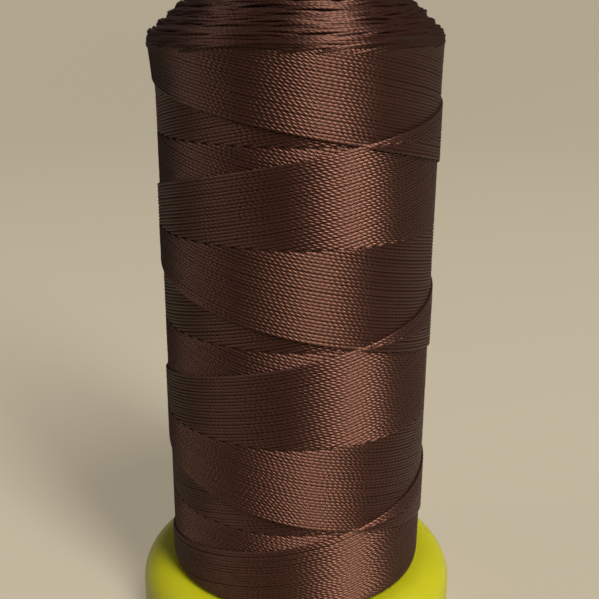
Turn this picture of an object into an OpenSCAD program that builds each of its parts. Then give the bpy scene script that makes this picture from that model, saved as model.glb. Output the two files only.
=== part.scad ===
// Cross-wound spool of waxed thread on a tube with a raised, rounded base.
// Millimetres, +Z up, origin at the centre of the base's resting rim.

/* [Base] */
// Radius of the base at its rim
rim_r = 40; // [38:0.5:44]
// Height of the base's top face, which the winding stands on
base_h = 14; // [13:0.5:20]
// Radius of the base's rounded upper edge
edge_r = 7; // [4:0.1:8]
// Moulded wall thickness of the base
base_wall = 2; // [1.4:0.1:2.6]
// Stiffening ribs under the base
rib_count = 8; // [4:1:12]

/* [Tube] */
// Outer radius of the tube
tube_r = 16; // [14:0.5:18]
// Radius of the bore that the spindle runs in
bore_r = 14; // [8:0.5:14.5]
// Height of the tube's top end
tube_top = 168; // [164:1:185]

/* [Winding] */
// Radius over the thread crests at the foot
foot_r = 32.3; // [30:0.1:34]
// Radius over the thread crests below the shoulder
waist_r = 33.2; // [30:0.1:35]
// Extra radius where the thread turns back at the shoulder
shoulder_rise = 1; // [0:0.1:1.5]
// Height of the shoulder
shoulder_z = 142.7; // [130:0.1:146]
// Thread diameter as wound
thread_d = 0.72; // [0.5:0.01:1]
// Share of its diameter that each layer of thread adds to the radius
nesting = 0.72; // [0.6:0.01:1]
// Turns of thread laid in one stroke from shoulder to foot
stroke_turns = 3; // [2:1:4]
// Angle of the crossing of the newest threads, from the front to the right
crossing_angle = 23; // [0:1:359]
// Rise of the top taper for each unit of radius
taper_slope = 0.872; // [0.6:0.001:1.1]

/* [Hidden] */
lime = [0.70, 0.69, 0.12];
brown = [0.36, 0.23, 0.19];
brown_dark = [0.28, 0.17, 0.15];
brown_light = [0.43, 0.28, 0.23];

rim_ease = 0.8;
hub_wall = 2.6;
ring_r = 27.6;
ring_wall = 1.4;
under_gap = 1.2;
rib_w = 1.4;
rib_gap = 1.8;
rib_top_drop = 1;
slack = 0.05;
nose_round = 0.9;
tube_foot = 1;

wind_foot = base_h + slack;
wind_len = shoulder_z - wind_foot;
rise_depth = 14;
foot_tuck = 0.6;
foot_tuck_depth = 2.5;
skin = 3;
skin_gap = 0.2;
profile_steps = 26;
shoulder_step = 0.9;
taper_over = 1.2;
end_ease = 0.0115;
lift_ease = 0.006;
layers = 2 * stroke_turns;
patch_n = 18;
patch_trim = 0.006;
tiny = 0.02;
layer_d = nesting * thread_d;

// Radius over the crests at a height: a slight draft, a bulge at the shoulder, a tuck at the foot.
function near(gap, depth) = pow(max(0, 1 - gap / depth), 2);
function crest_r(z) =
    foot_r + (waist_r - foot_r) * (z - wind_foot) / wind_len
    + shoulder_rise * near(shoulder_z - z, rise_depth)
    - foot_tuck * near(z - wind_foot, foot_tuck_depth);

// Share of the winding's length that a share of the stroke covers, as the traverse slows at its ends.
function eased(x) = x - end_ease * sin(360 * x) - lift_ease * sin(180 * x);
function level_z(q) = shoulder_z - wind_len * eased(q / layers);
function taper_z(r) = shoulder_z + taper_slope * (waist_r + shoulder_rise + taper_over - r);

// Half section of the base from an inner radius to the rim, drawn inset by a wall, with round corners.
module base_section(inner_r, inset, low) {
    turn_r = edge_r - inset;
    outer_r = rim_r - inset;
    top_z = base_h - inset;
    translate([inner_r, low]) square([outer_r - turn_r - inner_r, top_z - low]);
    translate([inner_r, low]) square([outer_r - inner_r, top_z - turn_r - low]);
    translate([outer_r - turn_r, top_z - turn_r]) circle(r = turn_r, $fn = 96);
}

module base_shell() {
    rotate_extrude($fn = 128)
        difference() {
            union() {
                base_section(tube_r + slack, 0, rim_ease);
                translate([tube_r + slack, 0]) square([rim_r - rim_ease - tube_r - slack, base_h / 2]);
                translate([rim_r - rim_ease, rim_ease]) circle(r = rim_ease, $fn = 48);
            }
            base_section(tube_r + hub_wall, base_wall, -1);
            translate([tube_r, -1]) square([hub_wall + 1, 1 + under_gap]);
        }
}

module base_rib(turn) {
    rotate([0, 0, turn]) translate([tube_r + hub_wall / 2, -rib_w / 2, rib_gap])
        cube([rim_r - base_wall / 2 - tube_r - hub_wall / 2, rib_w,
            base_h - edge_r - rib_top_drop - rib_gap]);
}

module web() {
    rotate_extrude($fn = 128) translate([ring_r - ring_wall / 2, under_gap])
        square([ring_wall, base_h - base_wall / 2 - under_gap]);
    for (i = [0:rib_count - 1]) base_rib(360 * i / rib_count);
}

// Base: rounded top, hollow ribbed underside and the hub that grips the tube.
module base_flange() {
    color(lime) {
        base_shell();
        web();
    }
}

// Tube: straight spindle bore with rounded ends.
module core_tube() {
    mid_r = (tube_r + bore_r) / 2;
    half = (tube_r - bore_r) / 2;
    color(lime) rotate_extrude($fn = 96) {
        translate([bore_r, tube_foot]) square([2 * half, tube_top - nose_round - tube_foot]);
        translate([mid_r, tube_top - nose_round]) intersection() {
            circle(r = half, $fn = 48);
            translate([-half, 0]) square([2 * half, nose_round]);
        }
    }
}

// Bulk of the wound thread, below the layers that show.
module inner_winding() {
    side = [for (i = [0:profile_steps]) let (z = wind_foot + wind_len * i / profile_steps)
        [crest_r(z) - skin - skin_gap, z]];
    inner = tube_r + slack;
    top_r = side[profile_steps][0];
    color(brown_dark) rotate_extrude($fn = 96)
        polygon(concat([[inner, wind_foot]], side,
            [[top_r, taper_z(top_r) - skin - skin_gap], [inner, taper_z(inner) - skin - skin_gap]]));
}

// One panel of the outer thread. fresh and other are the ages of the two families there, from 0 for
// the newest thread to 1 for the oldest still showing. The panel's base is a level line, right round.
function trimmed(v, centre) = centre + (v - centre) * (1 - patch_trim);
function panel_point(base, s, t, depth) =
    let (turn = 360 * (s + t) / 2 + crossing_angle + 180 * (base + 1), z = level_z(base + t - s),
         r = depth > 0 ? crest_r(z) - depth : crest_r(z) - layer_d * (s + t))
    [r * sin(turn), -r * cos(turn), z];
function tri_index(i, j) = j * (j + 1) / 2 + i;

module panel(base, falling) {
    count = (patch_n + 1) * (patch_n + 2) / 2;
    grid = [for (depth = [0, skin]) for (j = [0:patch_n]) for (i = [0:j])
        let (low = trimmed(i / patch_n, 1 / 3), high = trimmed(j / patch_n, 2 / 3))
        falling ? panel_point(base, low, high, depth) : panel_point(base, high, low, depth)];
    top = concat(
        [for (j = [1:patch_n]) for (i = [0:j - 1])
            [tri_index(i, j - 1), tri_index(i + 1, j), tri_index(i, j)]],
        [for (j = [2:patch_n]) for (i = [1:j - 1])
            [tri_index(i, j - 1), tri_index(i - 1, j - 1), tri_index(i, j)]]);
    rim = concat([for (j = [0:patch_n]) tri_index(0, j)],
        [for (i = [1:patch_n]) tri_index(i, patch_n)],
        [for (j = [patch_n - 1:-1:1]) tri_index(j, j)]);
    walls = [for (k = [0:len(rim) - 1]) let (a = rim[k], b = rim[(k + 1) % len(rim)])
        each [[a, b, b + count], [a, b + count, a + count]]];
    under = [for (f = top) [f[0] + count, f[2] + count, f[1] + count]];
    shell = concat([for (f = top) [f[0], f[2], f[1]]], [for (f = under) [f[0], f[2], f[1]]],
        [for (f = walls) [f[0], f[2], f[1]]]);
    polyhedron(points = grid, faces = falling ? shell : [for (f = shell) [f[0], f[2], f[1]]]);
}

// Threads laid on the way down, where they are the newer ones.
module falling_layer() {
    color(brown) for (base = [0:layers - 1]) panel(base, true);
}

// Threads laid on the way up, where they are the newer ones.
module rising_layer() {
    color(brown_light) for (base = [1:layers]) panel(base, false);
}

// Looser turns that cover the taper between the shoulder and the tube.
module top_turns() {
    inner = tube_r + slack;
    outer = waist_r + shoulder_rise;
    color(brown) rotate_extrude($fn = 96)
        polygon([[inner, taper_z(inner) - skin], [outer - skin, taper_z(outer - skin) - skin],
            [outer - skin, shoulder_z + tiny], [outer, shoulder_z + tiny],
            [outer, shoulder_z + shoulder_step], [outer - taper_over / 2, taper_z(outer - taper_over / 2)],
            [inner, taper_z(inner)]]);
}

base_flange();
core_tube();
inner_winding();
falling_layer();
rising_layer();
top_turns();
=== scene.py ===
import math

import bpy
import numpy as np
from mathutils import Matrix, Vector


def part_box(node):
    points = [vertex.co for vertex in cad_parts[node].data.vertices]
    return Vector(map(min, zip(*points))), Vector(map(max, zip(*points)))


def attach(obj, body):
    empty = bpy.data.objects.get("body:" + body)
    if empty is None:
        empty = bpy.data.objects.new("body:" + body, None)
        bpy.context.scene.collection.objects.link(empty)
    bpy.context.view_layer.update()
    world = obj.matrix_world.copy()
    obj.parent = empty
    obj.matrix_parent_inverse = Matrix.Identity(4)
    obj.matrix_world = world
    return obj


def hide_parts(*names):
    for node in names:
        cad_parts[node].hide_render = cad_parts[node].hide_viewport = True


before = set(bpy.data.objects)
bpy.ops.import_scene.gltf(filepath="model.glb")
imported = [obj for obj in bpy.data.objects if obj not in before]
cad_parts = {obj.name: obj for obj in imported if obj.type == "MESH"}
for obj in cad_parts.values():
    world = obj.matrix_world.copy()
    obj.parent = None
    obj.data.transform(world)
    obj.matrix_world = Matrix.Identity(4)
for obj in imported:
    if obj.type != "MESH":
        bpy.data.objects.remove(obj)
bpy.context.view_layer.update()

SCENE = bpy.context.scene

# ---------------------------------------------------------------- sizes, in metres
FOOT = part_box("inner_winding")[0].z
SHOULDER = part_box("falling_layer")[1].z
TUBE_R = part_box("core_tube")[1].x
LENGTH = SHOULDER - FOOT
FOOT_R = 0.0323  # over the thread crests at the foot
WAIST_R = 0.0332  # over the thread crests below the shoulder
SHOULDER_RISE = 0.0010  # extra radius where the thread turns back at the shoulder
RISE_DEPTH = 0.014
PRESSED = 0.0008  # how far the shoulder is pressed in on its right side
FOOT_TUCK = 0.0006  # radius lost where the thread turns back at the foot
FOOT_TUCK_DEPTH = 0.0025
TAPER_SLOPE = 0.872  # rise of the top taper for each unit of radius
TAPER_OVER = 0.0012

THREAD_D = 0.00072
THREADS = 58  # threads side by side in one pitch of the winding
LAYER = 0.00052  # how much each layer of thread adds
LEVELS = 6  # half pitches from shoulder to foot
CROSSING = math.radians(23)  # where the newest threads cross, from the front to the right
END_EASE = 0.0115  # how the traverse slows towards its ends
LIFT_EASE = 0.006
LAY = 0.00367  # length of one turn of the three plies
SIDES = 12  # sides of a thread's section
RING_STEP = 0.00040
WIDE, FLAT = 0.60 * THREAD_D, 0.49 * THREAD_D  # half width of a thread along the winding, and across it

rng = np.random.default_rng(20)


# ---------------------------------------------------------------- the winding's own geometry
def crest_r(z):
    """Radius over the thread crests at a height."""
    near_top = np.clip(1 - (SHOULDER - z) / RISE_DEPTH, 0, None) ** 2
    near_foot = np.clip(1 - (z - FOOT) / FOOT_TUCK_DEPTH, 0, None) ** 2
    plain = FOOT_R + (WAIST_R - FOOT_R) * (z - FOOT) / LENGTH
    return plain + SHOULDER_RISE * near_top - FOOT_TUCK * near_foot


def pressed(z, phi):
    """How far handling has pushed the shoulder in, at a height and a turn."""
    near_top = np.clip(1 - np.abs(SHOULDER - z) / RISE_DEPTH, 0, None) ** 2
    return PRESSED * near_top * np.clip(np.sin(phi), 0, None)


def eased(x):
    """Share of the winding's length that a share of the stroke covers."""
    return x - END_EASE * np.sin(2 * np.pi * x) - LIFT_EASE * np.sin(np.pi * x)


def level_z(q):
    """Height of a level, from 0 at the shoulder to LEVELS at the foot."""
    return SHOULDER - LENGTH * eased(q / LEVELS)


def taper_z(r):
    """Height of the top taper at a radius."""
    return SHOULDER + TAPER_SLOPE * (WAIST_R + SHOULDER_RISE + TAPER_OVER - r)


def smooth(x):
    """Step from 0 to 1 with level ends."""
    x = np.clip(x, 0, 1)
    return x * x * (3 - 2 * x)


TURN_BACK = 0.07  # half width of the bend where the thread turns back, in half turns
END_SHIFT = 0.0008  # how far the bends are pushed back out to the ends
END_REACH = 0.3  # distance from an end over which that push fades, in levels
RAMP = 0.017  # half length over which a thread climbs over the other family, in half turns
SWAY = 0.00004  # how far a thread strays along the winding
DIP = 0.00002  # and in depth
DIP_WAVES = 3.7
WAVE_START = 6  # range of the places where a thread's waves start, in radians


def winding_path(q, age, falling, wander):
    """Centre line of one thread, whose level q runs from 0 at the shoulder to LEVELS at the foot.

    age is 0 for the newest thread and 1 for the oldest that shows. wander holds the thread's own
    shift, its count of waves and the places where its two waves start.
    """
    middle = LEVELS / 2
    top = np.sqrt(q**2 + TURN_BACK**2)
    foot = np.sqrt((LEVELS - q) ** 2 + TURN_BACK**2)
    level = np.where(q < middle, top, LEVELS - foot)
    z = level_z(level) + END_SHIFT * (np.exp(-top / END_REACH) - np.exp(-foot / END_REACH))
    travel = q if falling else LEVELS - q
    turn = (q + 2 * age) / 2 if falling else (2 * age - q) / 2
    off = travel - np.round(travel)
    buried = off + 1 - smooth((off + RAMP) / (2 * RAMP))
    depth = 2 * age + buried
    phi = 2 * np.pi * turn + CROSSING + np.pi
    z = z + wander[0] * SWAY + SWAY * np.sin(phi * wander[1] + wander[2] * WAVE_START)
    dip = DIP * np.sin(phi * DIP_WAVES + wander[3] * WAVE_START)
    r = crest_r(z) - pressed(z, phi) - FLAT - LAYER * depth + dip
    return np.stack([r * np.sin(phi), -r * np.cos(phi), z], 1)


def resampled(points, step):
    """Points at even distances along a line, and those distances."""
    seg = np.linalg.norm(np.diff(points, axis=0), axis=1)
    run = np.r_[0, np.cumsum(seg)]
    count = max(4, int(round(run[-1] / step)) + 1)
    at = np.linspace(0, run[-1], count)
    return np.stack([np.interp(at, run, points[:, k]) for k in range(3)], 1), at


# ---------------------------------------------------------------- twisted thread as a mesh
# Radius of the section round one ply, for each count of sides: crest, flank, valley, flank, or
# crest and two flanks.
LOBE = {12: [1.0, 0.90, 0.70, 0.90], 9: [1.0, 0.84, 0.84]}
VALLEY = 0.70
ROW_GAP = 0.0008  # space between runs in a row of the bake map
ROW_MARGIN = 0.04  # space below a run in its row, as a share of the row


def packed_rows(lengths):
    """Rows of the bake map: each run's row and where it starts, so that long and short runs share rows."""
    capacity = max(lengths) + ROW_GAP
    rows, place = [], {}
    for i in sorted(range(len(lengths)), key=lambda k: -lengths[k]):
        need = lengths[i] + ROW_GAP
        for r, used in enumerate(rows):
            if used + need <= capacity + 1e-9:
                place[i] = (r, used)
                rows[r] += need
                break
        else:
            place[i] = (len(rows), 0.0)
            rows.append(need)
    return place, len(rows), capacity


def twisted_rings(points, run, outward, phase, profile):
    """Rings of vertices round a run's centre line, turned so that the plies twist."""
    tangent = np.gradient(points, axis=0)
    tangent /= np.linalg.norm(tangent, axis=1)[:, None]
    normal = outward - (outward * tangent).sum(1)[:, None] * tangent
    normal /= np.linalg.norm(normal, axis=1)[:, None]
    side = np.cross(tangent, normal)
    spin = np.arange(len(profile)) * 2 * np.pi / len(profile)
    angle = spin[None] + (2 * np.pi * run / LAY + phase)[:, None]
    up_part = FLAT * np.cos(angle)[..., None] * normal[:, None]
    side_part = WIDE * np.sin(angle)[..., None] * side[:, None]
    return points[:, None] + profile[None, :, None] * (up_part + side_part)


def ring_faces(n, sides, base):
    """Quads between a run's rings, and the triangles that close its two ends, as vertex numbers."""
    j, k = np.meshgrid(np.arange(n - 1), np.arange(sides), indexing="ij")
    k2 = (k + 1) % sides
    near, far = base + j * sides, base + (j + 1) * sides
    quads = np.stack([near + k, near + k2, far + k2, far + k], -1).reshape(-1, 4)
    one = np.arange(sides)
    two = (one + 1) % sides
    last = base + (n - 1) * sides
    start_tip = np.full(sides, base + n * sides)
    start_cap = np.stack([base + one, start_tip, base + two], 1)
    end_cap = np.stack([last + one, last + two, start_tip + 1], 1)
    return quads, start_cap, end_cap


def detail_map(run, sides):
    """Place of each corner in the detail map: round the thread from a fixed direction, and along it."""
    j, k = np.meshgrid(np.arange(len(run) - 1), np.arange(sides), indexing="ij")
    low = k / sides * np.pi
    high = low + np.pi / sides
    lean = np.pi * run / LAY
    around = np.stack([low + lean[j], high + lean[j], high + lean[j + 1], low + lean[j + 1]], -1)
    diameters = run / THREAD_D
    along = np.stack([diameters[j], diameters[j], diameters[j + 1], diameters[j + 1]], -1)
    return np.stack([around, along], -1).reshape(-1, 2)


def bake_map(run, sides, place, row_count, capacity):
    """Place of each corner in the bake map, where runs lie end to end in rows."""
    row, used = place
    j, k = np.meshgrid(np.arange(len(run) - 1), np.arange(sides), indexing="ij")
    u = (used + run) / capacity
    low = k / (sides + 1)
    high = low + 1 / (sides + 1)
    cell_u = np.stack([u[j], u[j], u[j + 1], u[j + 1]], -1)
    cell_v = (row + ROW_MARGIN + np.stack([low, high, high, low], -1)) / row_count
    return np.stack([cell_u, cell_v], -1).reshape(-1, 2)


def linked_mesh(name, verts, loops, starts, totals, maps, values):
    """Object in the scene, from lists of arrays of vertices, faces, maps and values at the vertices."""
    me = bpy.data.meshes.new(name)
    verts = np.concatenate(verts).astype(np.float32)
    loops = np.concatenate(loops).astype(np.int32)
    starts = np.concatenate(starts).astype(np.int32)
    me.vertices.add(len(verts))
    me.vertices.foreach_set("co", verts.ravel())
    me.loops.add(len(loops))
    me.loops.foreach_set("vertex_index", loops)
    me.polygons.add(len(starts))
    me.polygons.foreach_set("loop_start", starts)
    me.polygons.foreach_set("loop_total", np.concatenate(totals).astype(np.int32))
    me.polygons.foreach_set("use_smooth", np.ones(len(starts), bool))
    for label, data in maps.items():
        layer = me.uv_layers.new(name=label)
        layer.data.foreach_set("uv", np.concatenate(data).astype(np.float32).ravel())
    me.uv_layers.active = me.uv_layers["UVMap"]
    for label, data in values.items():
        layer = me.attributes.new(label, "FLOAT", "POINT")
        layer.data.foreach_set("value", np.concatenate(data).astype(np.float32))
    me.update()
    me.validate()
    ob = bpy.data.objects.new(name, me)
    SCENE.collection.objects.link(ob)
    return ob


def thread_mesh(name, runs, sides=SIDES):
    """One mesh of many thread runs. A run is (points, outward, phase, tone)."""
    profile = np.tile(LOBE[sides], 3)
    # Share from valley (0) to crest (1) at each ring corner, kept as an attribute that paints shade into the
    # valleys between the plies.
    lobe = (profile - VALLEY) / (1 - VALLEY)
    lengths = [float(np.linalg.norm(np.diff(run[0], axis=0), axis=1).sum()) for run in runs]
    place, row_count, capacity = packed_rows(lengths)
    verts, loops, starts, totals = [], [], [], []
    maps = {"UVMap": [], "OFBake": []}
    values = {"tone": [], "lobe": []}
    cap_faces = 2 * sides
    base, loop_at = 0, 0
    for i, (points, outward, phase, tone) in enumerate(runs):
        n = len(points)
        run = np.r_[0, np.cumsum(np.linalg.norm(np.diff(points, axis=0), axis=1))]
        rings = twisted_rings(points, run, outward, phase, profile)
        verts += [rings.reshape(-1, 3), points[:1], points[-1:]]
        values["tone"].append(np.full(n * sides + 2, tone))
        values["lobe"] += [np.tile(lobe, n), [0.0, 0.0]]
        quads, start_cap, end_cap = ring_faces(n, sides, base)
        loops += [quads.ravel(), start_cap.ravel(), end_cap.ravel()]
        caps_at = loop_at + 4 * len(quads)
        starts += [loop_at + 4 * np.arange(len(quads)), caps_at + 3 * np.arange(cap_faces)]
        totals += [np.full(len(quads), 4), np.full(cap_faces, 3)]
        maps["UVMap"] += [detail_map(run, sides), np.zeros((3 * cap_faces, 2))]
        cells = bake_map(run, sides, place[i], row_count, capacity)
        maps["OFBake"] += [cells, np.tile(cells[0], (3 * cap_faces, 1))]
        base += n * sides + 2
        loop_at = caps_at + 3 * cap_faces
    return linked_mesh(name, verts, loops, starts, totals, maps, values)


def outward_of(points):
    """Direction straight out from the tube's axis at each point."""
    out = points * [1, 1, 0]
    return out / np.linalg.norm(out, axis=1)[:, None]


# ---------------------------------------------------------------- materials
def new_material(name):
    mat = bpy.data.materials.new(name)
    mat.use_nodes = True
    nt = mat.node_tree
    return mat, nt, nt.nodes["Principled BSDF"]


def node(nt, kind, **values):
    made = nt.nodes.new(kind)
    for key, value in values.items():
        setattr(made, key, value)
    return made


def mixed_colour(nt, factor, dark, light):
    """Colour between two. Sockets 6 and 7 are a Mix node's colours, and output 2 is the mixed one."""
    mix = node(nt, "ShaderNodeMix", data_type="RGBA")
    mix.inputs[6].default_value = (*dark, 1)
    mix.inputs[7].default_value = (*light, 1)
    nt.links.new(factor, mix.inputs[0])
    return mix.outputs[2]


def mapped(nt, source, low, high, to_low, to_high):
    """Value moved from one range to another. Sockets 1 to 4 are the ends of the two ranges."""
    made = node(nt, "ShaderNodeMapRange")
    for key, value in zip((1, 2, 3, 4), (low, high, to_low, to_high)):
        made.inputs[key].default_value = value
    nt.links.new(source, made.inputs[0])
    return made.outputs[0]


def thread_material(name, dark, light, gloss):
    """Waxed twist: painted shade between the plies, fine fibres along it, and a sheen drawn out round it."""
    mat, nt, bsdf = new_material(name)
    uv = node(nt, "ShaderNodeUVMap", uv_map="UVMap")
    stretch = node(nt, "ShaderNodeMapping")
    stretch.inputs["Scale"].default_value = (9.0, 0.7, 1.0)
    nt.links.new(uv.outputs[0], stretch.inputs[0])
    fibre = node(nt, "ShaderNodeTexNoise")
    fibre.inputs["Scale"].default_value = 1.6
    fibre.inputs["Detail"].default_value = 3.0
    nt.links.new(stretch.outputs[0], fibre.inputs["Vector"])
    lobe = node(nt, "ShaderNodeAttribute", attribute_name="lobe")
    tone = node(nt, "ShaderNodeAttribute", attribute_name="tone")
    place = node(nt, "ShaderNodeTexCoord")
    patch = node(nt, "ShaderNodeTexNoise")
    patch.inputs["Scale"].default_value = 60.0
    nt.links.new(place.outputs["Object"], patch.inputs["Vector"])
    # Painted shade: the colour darkens towards the valleys between the plies.
    height = mapped(nt, lobe.outputs["Fac"], 0.0, 1.0, 0.0, 0.55)
    grain = mapped(nt, fibre.outputs["Fac"], 0.3, 0.7, 0.0, 0.25)
    own = mapped(nt, tone.outputs["Fac"], 0.0, 1.0, -0.06, 0.10)
    broad = mapped(nt, patch.outputs["Fac"], 0.3, 0.7, -0.05, 0.10)
    total = height
    for part in (grain, own, broad):
        add = node(nt, "ShaderNodeMath", operation="ADD")
        nt.links.new(total, add.inputs[0])
        nt.links.new(part, add.inputs[1])
        total = add.outputs[0]
    nt.links.new(mixed_colour(nt, total, dark, light), bsdf.inputs["Base Color"])
    rough = mapped(nt, fibre.outputs["Fac"], 0.3, 0.7, 0.36, 0.46)
    nt.links.new(rough, bsdf.inputs["Roughness"])
    bump = node(nt, "ShaderNodeBump")
    bump.inputs["Strength"].default_value = 0.35
    bump.inputs["Distance"].default_value = 0.00005
    nt.links.new(fibre.outputs["Fac"], bump.inputs["Height"])
    nt.links.new(bump.outputs[0], bsdf.inputs["Normal"])
    tangent = node(nt, "ShaderNodeTangent", direction_type="UV_MAP", uv_map="UVMap")
    nt.links.new(tangent.outputs[0], bsdf.inputs["Tangent"])
    bsdf.inputs["Anisotropic"].default_value = 0.93
    bsdf.inputs["Specular IOR Level"].default_value = gloss
    bsdf.inputs["Specular Tint"].default_value = (1.0, 0.46, 0.31, 1)
    bsdf.inputs["Sheen Weight"].default_value = 0.02
    bsdf.inputs["Sheen Roughness"].default_value = 0.4
    bsdf.inputs["Sheen Tint"].default_value = (0.9, 0.72, 0.6, 1)
    return mat


def body_material(name):
    """Dark, dull thread deep in the winding."""
    mat, nt, bsdf = new_material(name)
    place = node(nt, "ShaderNodeTexCoord")
    noise = node(nt, "ShaderNodeTexNoise")
    noise.inputs["Scale"].default_value = 900.0
    nt.links.new(place.outputs["Object"], noise.inputs["Vector"])
    colour = mixed_colour(nt, noise.outputs["Fac"], (0.008, 0.004, 0.003), (0.022, 0.011, 0.008))
    nt.links.new(colour, bsdf.inputs["Base Color"])
    bsdf.inputs["Roughness"].default_value = 0.8
    bsdf.inputs["Specular IOR Level"].default_value = 0.05
    return mat


def plastic_material(name):
    """Satin lime moulding that lets a little light in."""
    mat, nt, bsdf = new_material(name)
    place = node(nt, "ShaderNodeTexCoord")
    broad = node(nt, "ShaderNodeTexNoise")
    broad.inputs["Scale"].default_value = 28.0
    broad.inputs["Detail"].default_value = 3.0
    nt.links.new(place.outputs["Object"], broad.inputs["Vector"])
    factor = mapped(nt, broad.outputs["Fac"], 0.3, 0.7, 0.0, 1.0)
    colour = mixed_colour(nt, factor, (0.252, 0.243, 0.002), (0.282, 0.270, 0.003))
    nt.links.new(colour, bsdf.inputs["Base Color"])
    fine = node(nt, "ShaderNodeTexNoise")
    fine.inputs["Scale"].default_value = 1500.0
    fine.inputs["Detail"].default_value = 2.0
    nt.links.new(place.outputs["Object"], fine.inputs["Vector"])
    nt.links.new(mapped(nt, broad.outputs["Fac"], 0.3, 0.7, 0.36, 0.46), bsdf.inputs["Roughness"])
    bump = node(nt, "ShaderNodeBump")
    bump.inputs["Strength"].default_value = 0.12
    bump.inputs["Distance"].default_value = 0.0001
    nt.links.new(fine.outputs["Fac"], bump.inputs["Height"])
    nt.links.new(bump.outputs[0], bsdf.inputs["Normal"])
    bsdf.inputs["Subsurface Weight"].default_value = 0.45
    bsdf.inputs["Subsurface Radius"].default_value = (0.010, 0.010, 0.002)
    bsdf.inputs["Subsurface Scale"].default_value = 1.0
    bsdf.inputs["Specular IOR Level"].default_value = 0.45
    return mat


THREAD = thread_material("waxed_thread", (0.006, 0.0024, 0.0018), (0.024, 0.0092, 0.0067), 0.88)
LOOSE = thread_material("loose_thread", (0.005, 0.0020, 0.0015), (0.022, 0.0082, 0.0060), 0.48)
BODY = body_material("inner_thread")
LIME = plastic_material("lime_plastic")

# ---------------------------------------------------------------- outer threads
PAST = 0.030  # how far a run carries on under the other family at each end, in half turns
END_PAST = 0.10  # and past the bend where the thread turns back
STRAY = 8.0  # how much further the newest threads stray where the last stroke starts at the foot
STRAY_AGE = 0.08  # age over which that straying fades
PATH_POINTS = 600


def panel_runs(base, falling):
    """Threads of one family that show between a level line and the other family's newer threads."""
    runs = []
    for n in range(THREADS):
        age = (n + 0.5) / THREADS
        start = -RAMP - PAST
        if (falling and base == 0) or (not falling and base == LEVELS):
            start = -END_PAST
        travel = np.linspace(start, 1 - age + PAST, PATH_POINTS)
        q = base + travel if falling else base - travel
        wander = rng.uniform(-1, 1, 4)
        wander[1] = 1.5 + abs(wander[1]) * 2
        if not falling and base == LEVELS:
            wander[0] *= 1 + STRAY * math.exp(-age / STRAY_AGE)
        points = winding_path(q, age, falling, wander)
        points, _ = resampled(points, RING_STEP)
        runs.append((points, outward_of(points), rng.uniform(0, 2 * np.pi), rng.uniform(0, 1)))
    return runs


for base in range(LEVELS):
    ob = thread_mesh(f"falling_threads_{base}", panel_runs(base, True))
    ob.data.materials.append(THREAD)
    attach(ob, "root")
    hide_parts("falling_layer")
for base in range(1, LEVELS + 1):
    ob = thread_mesh(f"rising_threads_{base}", panel_runs(base, False))
    ob.data.materials.append(THREAD)
    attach(ob, "root")
    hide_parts("rising_layer")

# ---------------------------------------------------------------- looser turns on the top taper
TOP_ARCS = 26  # short runs in each layer
TOP_PIECES = 5
TOP_STEP = 0.00048
PITCH = 2 * LENGTH / LEVELS
BUNDLE = 0.0021  # spacing of the bundles that the turns lie in
RIM_RISE = 0.00120  # height over which the turns round the shoulder's edge
RIM_ROUND = 0.00050
RIM_INSET = 0.00075  # from the shoulder's radius in to the first layer on the taper
TUBE_CLEAR = 0.0007
LAYER_SHIFT = 0.618  # share of a run that each layer's ends are shifted by, so that they don't line up
SPAN = 0.062  # half length of a run, in turns
BEND = 0.06  # half width of its bend, in turns
LIFT = 0.00034  # how far a run lies above or below its layer
PUSH = 0.00012
DRIFT = 0.00022  # how far a run winds inwards along its half length
TUCK = 0.00080  # how far its ends are tucked under
SEAM = 0.12  # share of a turn over which the oldest turns come back level with the newest
SWELL_UP, SWELL_OUT = 0.00016, 0.00020  # how far a bundle stands up and out
SINK_STOP, SINK_FADE = 0.0006, 0.0012  # distances from the tube at which old turns stop sinking
TAPER_FACING = (0.75, 0.66)  # outward and upward parts of the way that a run on the taper faces
RUN_POINTS = 80


def top_layers():
    """Radius, height and lift of each layer of turns, from the shoulder in to the tube."""
    rim = WAIST_R + SHOULDER_RISE - FLAT
    layers = []
    for share in (0.0, 0.35, 0.7, 1.0):
        layers.append((rim - RIM_ROUND * share**2, SHOULDER + 0.00005 + RIM_RISE * share, share))
    for r in np.arange(WAIST_R + SHOULDER_RISE - RIM_INSET, TUBE_R + TUBE_CLEAR, -LAYER):
        layers.append((r, taper_z(r) - FLAT, 1.0))
    return layers


def top_run(r0, z0, rise, offset, m):
    """One short run on the taper: it hangs from its bend, lies in a bundle and tucks in at its ends."""
    centre = (m + offset + rng.uniform(-0.45, 0.45)) / TOP_ARCS
    span = SPAN * rng.uniform(0.8, 1.5)
    bend = BEND * rng.uniform(0.6, 1.6)
    lift = rng.uniform(-1, 0.6) * LIFT * max(rise, 0.4)
    push = rng.uniform(-1, 1) * PUSH
    u = np.linspace(-span, span, RUN_POINTS)
    share = u / span
    phi = 2 * np.pi * (centre + u)
    age = np.mod((phi - CROSSING) / (2 * np.pi) + 0.5, 1)
    near_tube = np.clip((r0 - TUBE_R - SINK_STOP) / SINK_FADE, 0, 1)
    sink = 2 * LAYER * age * smooth((1 - age) / SEAM) * near_tube
    swell = np.sin(2 * np.pi * (r0 - sink) / BUNDLE + 1.4 * np.sin(2 * phi + 1) + np.sin(5 * phi))
    z = z0 + TAPER_SLOPE * sink * rise + lift - PITCH * (np.sqrt(u**2 + bend**2) - bend)
    z = z + SWELL_UP * swell * rise
    r = r0 - sink + push - DRIFT * share - TUCK * np.abs(share) ** 4
    r = r + SWELL_OUT * swell * rise - pressed(z, phi)
    points = np.stack([r * np.sin(phi), -r * np.cos(phi), z], 1)
    points, _ = resampled(points, TOP_STEP)
    out = outward_of(points) * TAPER_FACING[0] + np.array([0, 0, TAPER_FACING[1]])
    return points, out, rng.uniform(0, 2 * np.pi), rng.uniform(0, 1)


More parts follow.
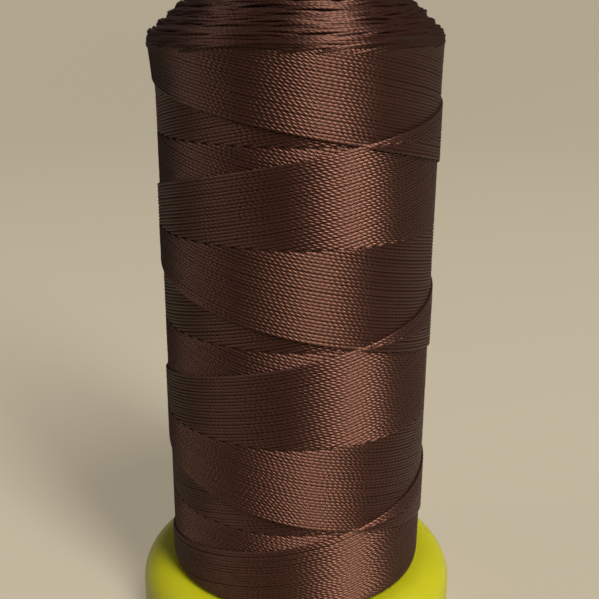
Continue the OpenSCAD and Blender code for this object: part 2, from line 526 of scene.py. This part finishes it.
def top_runs(layers, start):
    """All the short runs of some layers."""
    runs = []
    for n, (r0, z0, rise) in enumerate(layers):
        offset = (start + n) * LAYER_SHIFT
        for m in range(TOP_ARCS):
            runs.append(top_run(r0, z0, rise, offset, m))
    return runs


layers = top_layers()
for i in range(TOP_PIECES):
    part = layers[i::TOP_PIECES]
    ob = thread_mesh(f"top_threads_{i}", top_runs(part, i * 7), sides=9)
    ob.data.materials.append(LOOSE)
    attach(ob, "root")
    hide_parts("top_turns")


# ---------------------------------------------------------------- dark inner winding
BODY_AROUND, BODY_UP = 216, 150
BODY_DEPTH = 0.62 * THREAD_D  # below the crests of the threads over it
CONE_DEPTH = 1.3 * THREAD_D  # below the taper
CONE_INSET = 1.9 * THREAD_D
CONE_ROWS = 24
TUBE_SLACK = 0.00005


def lowest_near(r):
    """Lowest of each value and its neighbours, so that the body stays under every step of the threads."""
    low = r.copy()
    for dz in (-1, 0, 1):
        rolled = np.roll(r, dz, axis=0)
        if dz:
            end = 0 if dz > 0 else -1
            rolled[end] = r[end]
        for dp in (-1, 0, 1):
            low = np.minimum(low, np.roll(rolled, dp, axis=1))
    return low


def body_wall(phi, z):
    """Radius of the body under the outer threads, whose depth follows their ages."""
    fine = np.linspace(0, LEVELS, 2000)
    level = np.interp(-z, -level_z(fine), fine)
    turn = (phi - CROSSING - np.pi)[None] / (2 * np.pi)
    q = level[:, None]
    fall_age = np.mod(turn - q / 2, 1)
    rise_age = np.mod(turn + q / 2, 1)
    outer = crest_r(z)[:, None] - pressed(z[:, None], phi[None])
    return lowest_near(outer - LAYER * (fall_age + rise_age) - BODY_DEPTH)


def inner_body():
    """Closed body between the tube, the outer threads and the taper's turns."""
    around = BODY_AROUND
    phi = np.arange(around) * 2 * np.pi / around
    z = np.linspace(FOOT, SHOULDER, BODY_UP)
    inner = TUBE_R + TUBE_SLACK
    cone_r = np.linspace(WAIST_R + SHOULDER_RISE - CONE_INSET, inner, CONE_ROWS)
    cone = np.repeat(cone_r[:, None], around, 1)
    r = np.concatenate([np.full((1, around), inner), body_wall(phi, z), cone])
    heights = np.concatenate([[FOOT], z, taper_z(cone_r) - CONE_DEPTH])
    x, y = r * np.sin(phi)[None], -r * np.cos(phi)[None]
    verts = np.stack([x, y, np.repeat(heights[:, None], around, 1)], -1)
    count = len(heights)
    faces = []
    for j in range(count):
        j2 = (j + 1) % count
        for k in range(around):
            k2 = (k + 1) % around
            faces.append((j * around + k, j * around + k2, j2 * around + k2, j2 * around + k))
    me = bpy.data.meshes.new("winding_body")
    me.from_pydata(verts.reshape(-1, 3).tolist(), [], faces)
    me.polygons.foreach_set("use_smooth", np.ones(len(faces), bool))
    me.update()
    ob = bpy.data.objects.new("winding_body", me)
    SCENE.collection.objects.link(ob)
    return ob


ob = inner_body()
ob.data.materials.append(BODY)
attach(ob, "root")
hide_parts("inner_winding")

# ---------------------------------------------------------------- plastic pieces carried over from the CAD
for name in ("base_flange", "core_tube"):
    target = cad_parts[name]
    for s in target.material_slots:
        s.material = LIME


# ---------------------------------------------------------------- floor, light and camera
def plain_material(name, colour, rough, glow):
    """Paint with an even glow, which stands for light from the rest of the room."""
    mat, nt, bsdf = new_material(name)
    bsdf.inputs["Base Color"].default_value = (*colour, 1)
    bsdf.inputs["Emission Color"].default_value = (*glow, 1)
    bsdf.inputs["Emission Strength"].default_value = 1.0
    bsdf.inputs["Roughness"].default_value = rough
    bsdf.inputs["Specular IOR Level"].default_value = 0.2
    return mat


def sweep(name):
    """Round floor that ends close in front of the spool and curves up to a low wall far behind it."""
    around, front, flat_r, bend_r = 96, 0.26, 0.60, 0.5
    rings = [(r, 0.0) for r in np.linspace(front / 2, flat_r, 8)]
    for a in np.linspace(0.1, 1.2, 12):  # angles round the bend
        rings.append((flat_r + bend_r * math.sin(a), bend_r * (1 - math.cos(a))))
    verts, faces = [(0, 0, 0)], []
    for r, z in rings:
        for k in range(around):
            a = 2 * math.pi * k / around
            behind = smooth(1.6 * math.cos(a) - 0.3)
            verts.append((r * math.sin(a), max(r - front, 0) + r * math.cos(a), z * behind))
    for k in range(around):
        faces.append((0, 1 + (k + 1) % around, 1 + k))
    for j in range(len(rings) - 1):
        for k in range(around):
            k2 = (k + 1) % around
            lo, hi = 1 + j * around, 1 + (j + 1) * around
            faces.append((lo + k, lo + k2, hi + k2, hi + k))
    me = bpy.data.meshes.new(name)
    me.from_pydata(verts, [], faces)
    me.polygons.foreach_set("use_smooth", [True] * len(faces))
    me.update()
    ob = bpy.data.objects.new(name, me)
    SCENE.collection.objects.link(ob)
    return ob


floor = sweep("floor")
floor.data.materials.append(plain_material("floor_paint", (0.156, 0.136, 0.101), 0.8, (0.272, 0.236, 0.174)))

AIM_HEIGHT = 0.08


def area_light(name, azimuth, elevation, distance, size, energy, colour):
    """Panel of light aimed at the winding's middle, at an azimuth from the front to the right."""
    a, e = math.radians(azimuth), math.radians(elevation)
    back = Vector((math.sin(a) * math.cos(e), -math.cos(a) * math.cos(e), math.sin(e)))
    light = bpy.data.lights.new(name, "AREA")
    light.shape = "RECTANGLE"
    light.size, light.size_y = size
    light.energy = energy
    light.color = colour
    ob = bpy.data.objects.new(name, light)
    SCENE.collection.objects.link(ob)
    ob.location = Vector((0, 0, AIM_HEIGHT)) + back * distance
    ob.rotation_euler = (-back).to_track_quat("-Z", "Y").to_euler()
    ob.visible_camera = False
    return ob


area_light("key", 37.0, 45, 2.6, (0.60, 2.5), 172, (1.0, 0.97, 0.93))
area_light("left", -79, 38, 1.4, (0.5, 0.6), 4.2, (1.0, 0.97, 0.94))

world = bpy.data.worlds.new("soft_room")
SCENE.world = world
world.use_nodes = True
room = world.node_tree.nodes["Background"]
room.inputs[0].default_value = (1.0, 0.96, 0.91, 1)
room.inputs[1].default_value = 0.075
seen = world.node_tree.nodes.new("ShaderNodeBackground")
seen.inputs[0].default_value = (0.52, 0.45, 0.337, 1)
ray = world.node_tree.nodes.new("ShaderNodeLightPath")
pick = world.node_tree.nodes.new("ShaderNodeMixShader")
world.node_tree.links.new(ray.outputs["Is Camera Ray"], pick.inputs[0])
world.node_tree.links.new(room.outputs[0], pick.inputs[1])
world.node_tree.links.new(seen.outputs[0], pick.inputs[2])
world.node_tree.links.new(pick.outputs[0], world.node_tree.nodes["World Output"].inputs[0])

EYE_BACK = 0.2217  # from the tube's axis
EYE_ABOVE = 0.0079  # over the shoulder
camera = bpy.data.cameras.new("camera")
camera.sensor_width = 36
camera.lens = 57.1
camera.clip_start, camera.clip_end = 0.01, 20
eye = bpy.data.objects.new("camera", camera)
SCENE.collection.objects.link(eye)
pitch, roll, yaw = math.radians(17.336), math.radians(-0.275), math.radians(-0.135)
right = Vector((math.cos(yaw), math.sin(yaw), 0))
ahead = Vector((-math.sin(yaw), math.cos(yaw), 0))
up = ahead * math.sin(pitch) + Vector((0, 0, 1)) * math.cos(pitch)
x_axis = right * math.cos(roll) - up * math.sin(roll)
y_axis = right * math.sin(roll) + up * math.cos(roll)
z_axis = x_axis.cross(y_axis)
turn = Matrix((x_axis, y_axis, z_axis)).transposed().to_4x4()
eye.matrix_world = Matrix.Translation((0, -EYE_BACK, SHOULDER + EYE_ABOVE)) @ turn
SCENE.camera = eye
SCENE.view_settings.view_transform = "Standard"
